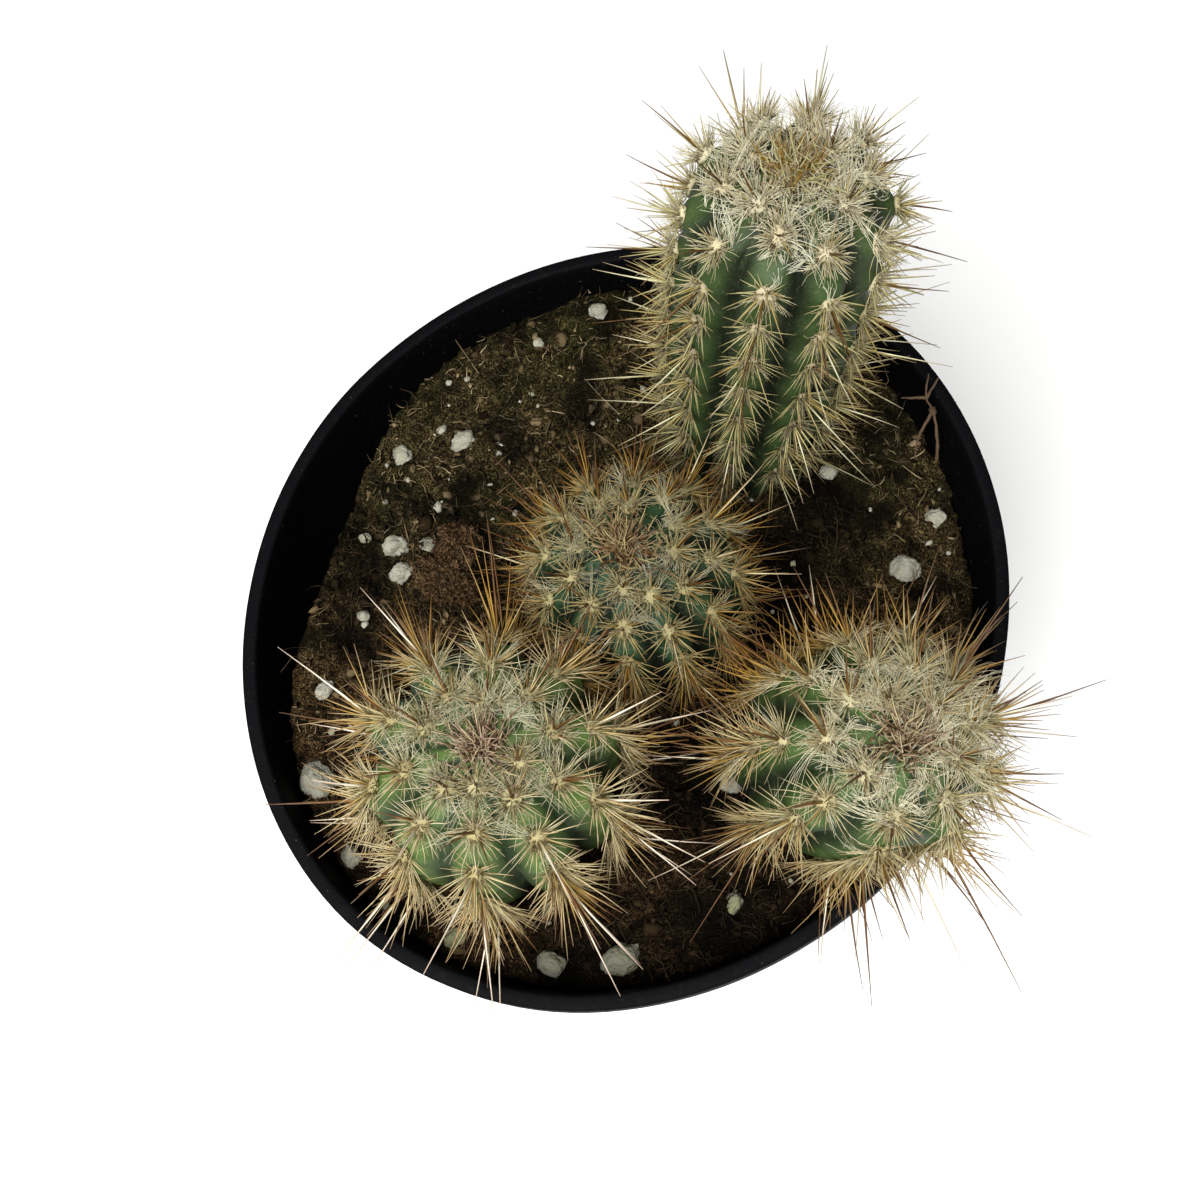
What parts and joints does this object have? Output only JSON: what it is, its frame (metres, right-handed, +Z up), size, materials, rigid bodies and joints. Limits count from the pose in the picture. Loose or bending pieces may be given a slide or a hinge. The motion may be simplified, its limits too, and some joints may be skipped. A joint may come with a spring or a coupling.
{
  "type": "potted cactus group",
  "caption": "Young ribbed columnar cacti with dense long spines, growing together in peaty soil in a thin, tapered plastic nursery pot whose rim is squeezed slightly oval.",
  "frame": {"origin": "centre of the flat underside of the pot", "axes": "+Z up along the pot's axis; -Y towards the viewer of the picture, with the tall plant at the back (+Y); +X to the viewer's right"},
  "size_m": [0.1031, 0.1075, 0.1476],
  "materials": {
    "pot_plastic": "dusty satin black, bluish grey on the lip",
    "soil": "dark brown fibrous peat with white perlite grains",
    "dry_twig": "dry, dull brown",
    "dark_green_cactus": "waxy dark green under straw spines",
    "bluish_green_cactus": "waxy bluish green under straw spines",
    "fresh_green_cactus": "waxy fresh green under golden spines",
    "woolly_green_cactus": "waxy green under white curly wool"
  },
  "bodies": {
    "root": {"pot": "pot_plastic", "soil": "soil", "dry_sprig": "dry_twig", "cactus_tall": "dark_green_cactus", "cactus_middle": "bluish_green_cactus", "cactus_left": "fresh_green_cactus", "cactus_right": "woolly_green_cactus"}
  },
  "joints": []
}
